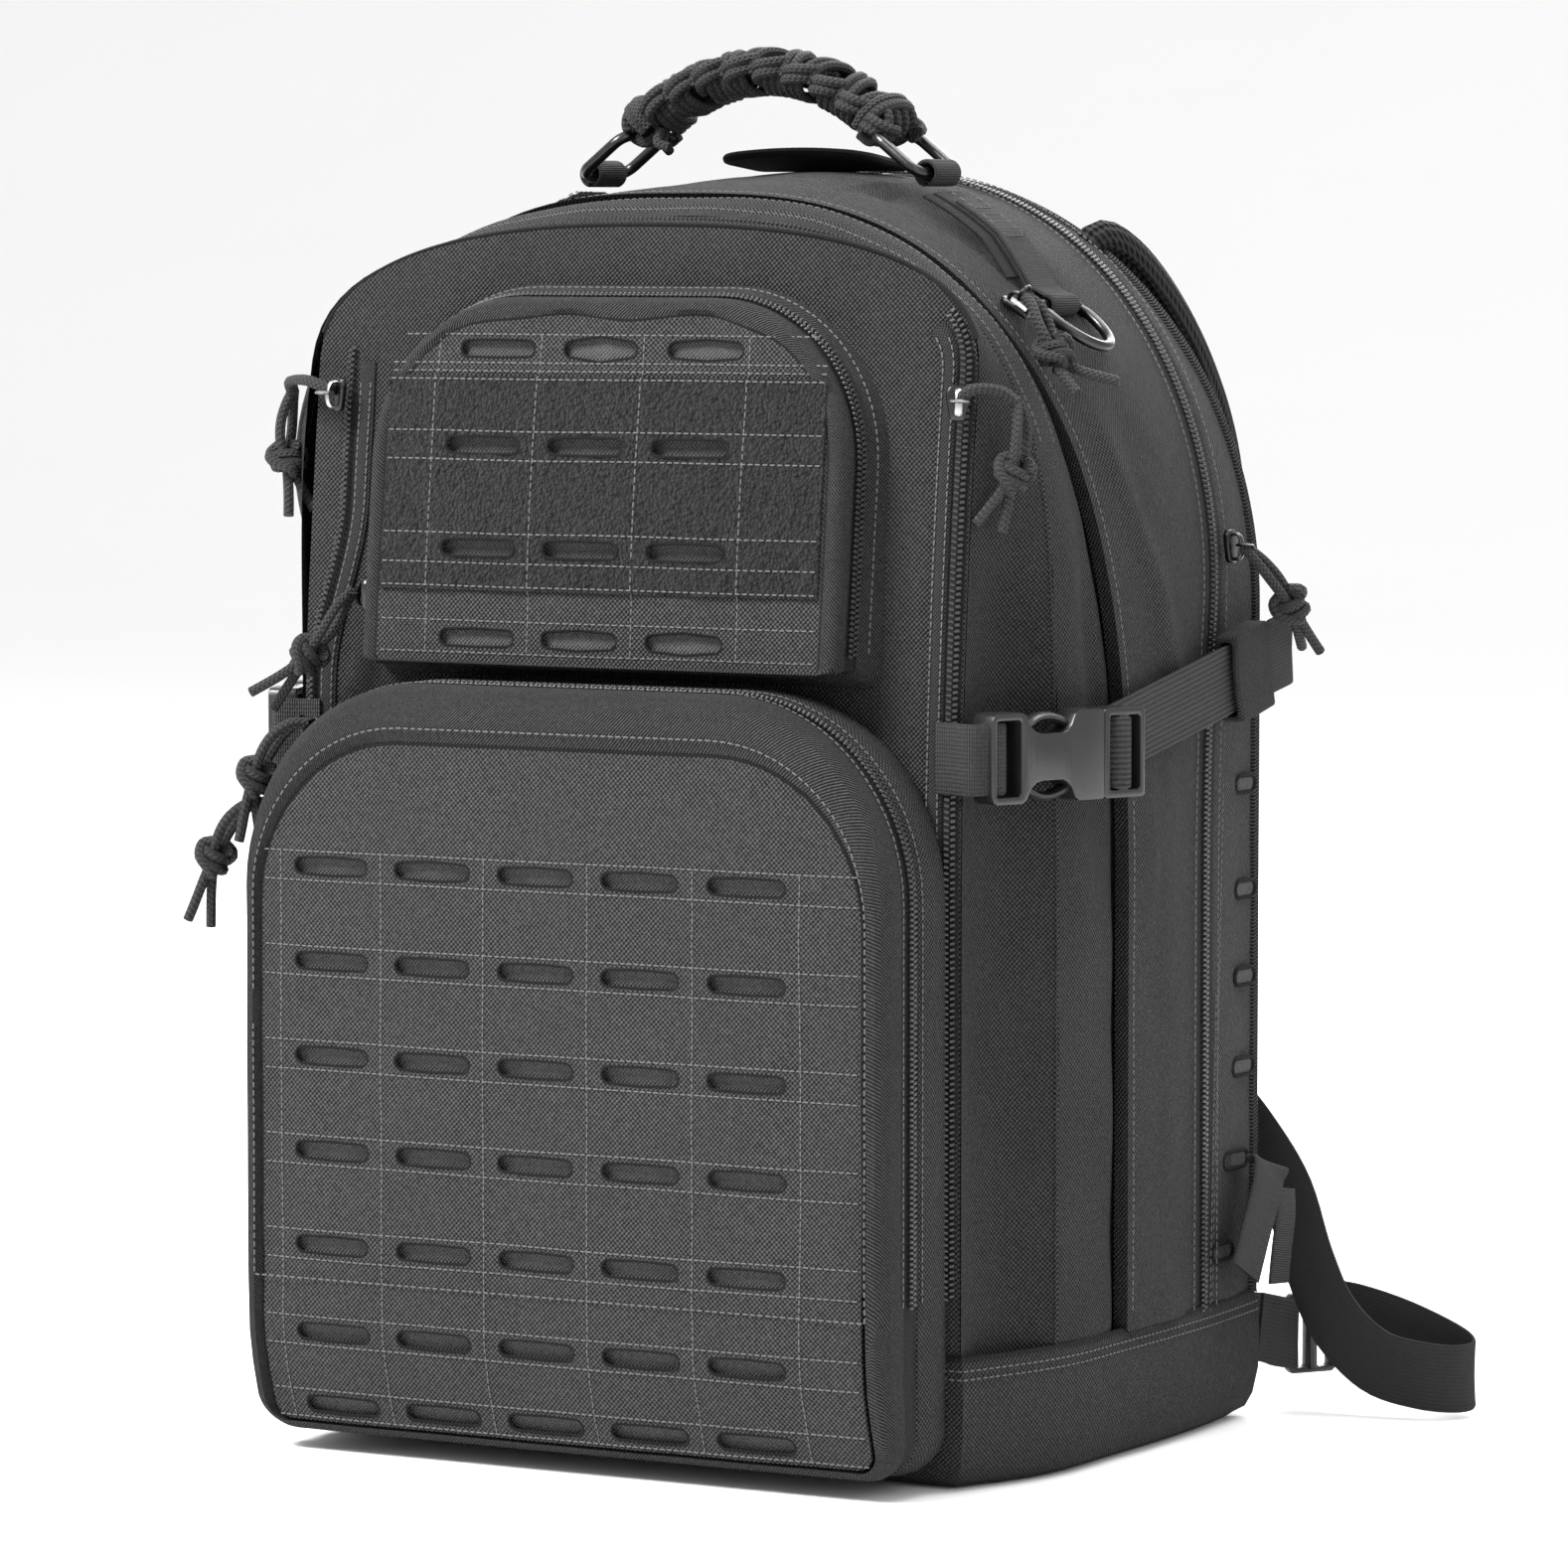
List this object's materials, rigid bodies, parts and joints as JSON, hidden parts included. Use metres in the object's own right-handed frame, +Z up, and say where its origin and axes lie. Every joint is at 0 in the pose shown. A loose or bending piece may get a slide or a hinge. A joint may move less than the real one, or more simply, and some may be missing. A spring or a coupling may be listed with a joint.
{
  "type": "trauma backpack",
  "caption": "Upright medical backpack with two zipped front pockets, laser-cut webbing slots, a loop patch field, side buckles, a braided cord handle and padded shoulder straps.",
  "frame": {"origin": "on the floor under the middle of the base panel, halfway between the side walls; the base spans y from -0.105 m to +0.101 m", "axes": "+Z up, +Y towards the wearer's back, -Y towards the pockets at the front, +X to the right of someone who looks at the front"},
  "size_m": [0.4091, 0.3094, 0.501],
  "materials": {
    "cordura": "matte woven nylon, dark grey",
    "binding": "matte twill nylon, dark grey",
    "laminate": "laser-cut laminated nylon, matte dark grey",
    "loop_pile": "fuzzy loop pile, charcoal",
    "webbing": "ribbed nylon webbing, dark grey",
    "paracord": "braided nylon cord, near black",
    "acetal": "satin moulded plastic, dark grey",
    "zip_coil": "black coil on woven tape",
    "slider_steel": "bare metal, satin",
    "black_wire": "blackened wire, semi-gloss",
    "air_mesh": "black spacer mesh over foam"
  },
  "bodies": {
    "pack": {"adjuster_webbing_left": "webbing", "adjuster_webbing_right": "webbing", "back_pad": "air_mesh", "back_panel": "cordura", "base_panel": "cordura", "buckle_socket_left": "acetal", "buckle_socket_right": "acetal", "compartment_divider": "cordura", "front_gusset": "cordura", "front_panel": "cordura", "lower_pocket_box": "cordura", "lower_pocket_skirt": "binding", "middle_gusset": "binding", "rear_gusset": "cordura", "rear_side_panel": "laminate", "shoulder_strap_left": "air_mesh", "shoulder_strap_right": "air_mesh", "shoulder_webbing_left": "webbing", "shoulder_webbing_right": "webbing", "strap_front_left": "webbing", "strap_front_right": "webbing", "strap_rear_left": "webbing", "strap_rear_right": "webbing", "upper_pocket_box": "cordura", "zipper_front_left": "zip_coil", "zipper_front_right": "zip_coil", "zipper_lower": "zip_coil", "zipper_rear": "zip_coil", "zipper_upper": "zip_coil"},
    "handle": {"handle_grip": "paracord", "handle_ring_left": "black_wire", "handle_ring_right": "black_wire", "handle_loop_left": "webbing", "handle_loop_right": "webbing"},
    "lower_cover": {"lower_pocket_flap": "binding", "lower_molle_panel": "laminate"},
    "upper_cover": {"upper_pocket_flap": "binding", "upper_molle_panel": "laminate", "loop_field": "loop_pile"},
    "port_flap": {"cable_port_flap": "binding"},
    "d_ring_right": {"d_ring_right": "black_wire"},
    "plug_right": {"buckle_plug_right": "acetal"},
    "keeper_right": {"strap_keeper_right": "acetal"},
    "lock_right": {"ladder_lock_right": "acetal"},
    "front_slider_right": {"slider_front_right": "slider_steel"},
    "front_pull_right": {"pull_cord_front_right": "paracord"},
    "d_ring_left": {"d_ring_left": "black_wire"},
    "plug_left": {"buckle_plug_left": "acetal"},
    "keeper_left": {"strap_keeper_left": "acetal"},
    "lock_left": {"ladder_lock_left": "acetal"},
    "front_slider_left": {"slider_front_left": "slider_steel"},
    "front_pull_left": {"pull_cord_front_left": "paracord"},
    "rear_slider": {"slider_rear": "slider_steel"},
    "rear_pull": {"pull_cord_rear": "paracord"},
    "main_slider": {"slider_main": "slider_steel"},
    "main_pull": {"pull_cord_main": "paracord"},
    "lower_slider": {"slider_lower": "slider_steel"},
    "lower_pull": {"pull_cord_lower": "paracord"},
    "upper_slider": {"slider_upper": "slider_steel"},
    "upper_pull": {"pull_cord_upper": "paracord"}
  },
  "joints": [
    {"name": "handle_swing", "type": "hinge", "parent": "pack", "child": "handle", "pos_m": [0, -0.003, 0.448], "axis": [1, 0, 0], "range_deg": [-45, 40]},
    {"name": "lower_cover_open", "type": "hinge", "parent": "pack", "child": "lower_cover", "pos_m": [0, -0.1518, 0.0605], "axis": [1, 0, 0], "range_deg": [0, 95]},
    {"name": "upper_cover_open", "type": "hinge", "parent": "pack", "child": "upper_cover", "pos_m": [0, -0.12888, 0.2795], "axis": [1, 0, 0], "range_deg": [0, 80]},
    {"name": "port_flap_lift", "type": "hinge", "parent": "pack", "child": "port_flap", "pos_m": [0, 0.05, 0.45673], "axis": [-1, 0, 0], "range_deg": [0, 95]},
    {"name": "d_ring_turn_right", "type": "hinge", "parent": "pack", "child": "d_ring_right", "pos_m": [0.11875, -0.003, 0.4098], "axis": [0, -1, 0], "range_deg": [0, 150]},
    {"name": "buckle_release_right", "type": "slide", "parent": "pack", "child": "plug_right", "axis": [0.3499, 0.9368, 0], "range_m": [0, 0.028]},
    {"name": "keeper_slide_right", "type": "slide", "parent": "pack", "child": "keeper_right", "axis": [0, 0.9821, 0.1882], "range_m": [-0.014, 0]},
    {"name": "ladder_lock_tilt_right", "type": "hinge", "parent": "pack", "child": "lock_right", "pos_m": [0.1416, 0.1384, 0.025], "axis": [0, 0, 1], "range_deg": [-12, 20]},
    {"name": "front_zip_right", "type": "slide", "parent": "pack", "child": "front_slider_right", "axis": [0, 0.0593, 0.9982], "range_m": [-0.055, 0]},
    {"name": "front_pull_swing_right", "type": "hinge", "parent": "front_slider_right", "child": "front_pull_right", "pos_m": [0.1493, -0.08999, 0.377], "axis": [0, -1, 0], "range_deg": [0, 90]},
    {"name": "d_ring_turn_left", "type": "hinge", "parent": "pack", "child": "d_ring_left", "pos_m": [-0.11875, -0.003, 0.4098], "axis": [0, 1, 0], "range_deg": [0, 150]},
    {"name": "buckle_release_left", "type": "slide", "parent": "pack", "child": "plug_left", "axis": [-0.3499, 0.9368, 0], "range_m": [0, 0.028]},
    {"name": "keeper_slide_left", "type": "slide", "parent": "pack", "child": "keeper_left", "axis": [0, 0.9821, 0.1882], "range_m": [-0.014, 0]},
    {"name": "ladder_lock_tilt_left", "type": "hinge", "parent": "pack", "child": "lock_left", "pos_m": [-0.1416, 0.1384, 0.025], "axis": [0, 0, -1], "range_deg": [-12, 20]},
    {"name": "front_zip_left", "type": "slide", "parent": "pack", "child": "front_slider_left", "axis": [0, 0.0593, 0.9982], "range_m": [-0.055, 0]},
    {"name": "front_pull_swing_left", "type": "hinge", "parent": "front_slider_left", "child": "front_pull_left", "pos_m": [-0.1493, -0.08999, 0.377], "axis": [0, 1, 0], "range_deg": [0, 90]},
    {"name": "rear_zip", "type": "slide", "parent": "pack", "child": "rear_slider", "axis": [-0.0797, 0.1194, 0.9896], "range_m": [0, 0.018]},
    {"name": "rear_pull_swing", "type": "hinge", "parent": "rear_slider", "child": "rear_pull", "pos_m": [0.158, 0.06645, 0.322], "axis": [0, -1, 0], "range_deg": [0, 90]},
    {"name": "main_zip", "type": "hinge", "parent": "pack", "child": "main_slider", "pos_m": [0.02878, -0.03516, 0.33846], "axis": [0, -1, 0], "range_deg": [-4, 8]},
    {"name": "main_pull_swing", "type": "hinge", "parent": "main_slider", "child": "main_pull", "pos_m": [0.1245, -0.03516, 0.41039], "axis": [0, -1, 0], "range_deg": [0, 90]},
    {"name": "lower_zip", "type": "hinge", "parent": "pack", "child": "lower_slider", "pos_m": [-0.061, -0.132, 0.206], "axis": [0, 1, 0], "range_deg": [-10, 10]},
    {"name": "lower_pull_swing", "type": "hinge", "parent": "lower_slider", "child": "lower_pull", "pos_m": [-0.11531, -0.132, 0.26031], "axis": [0, 1, 0], "range_deg": [0, 40]},
    {"name": "upper_zip", "type": "slide", "parent": "pack", "child": "upper_slider", "axis": [0, 0.099, 0.9951], "range_m": [0, 0.042]},
    {"name": "upper_pull_swing", "type": "hinge", "parent": "upper_slider", "child": "upper_pull", "pos_m": [-0.1088, -0.1128, 0.308], "axis": [0, -1, 0], "range_deg": [-45, 25]}
  ]
}
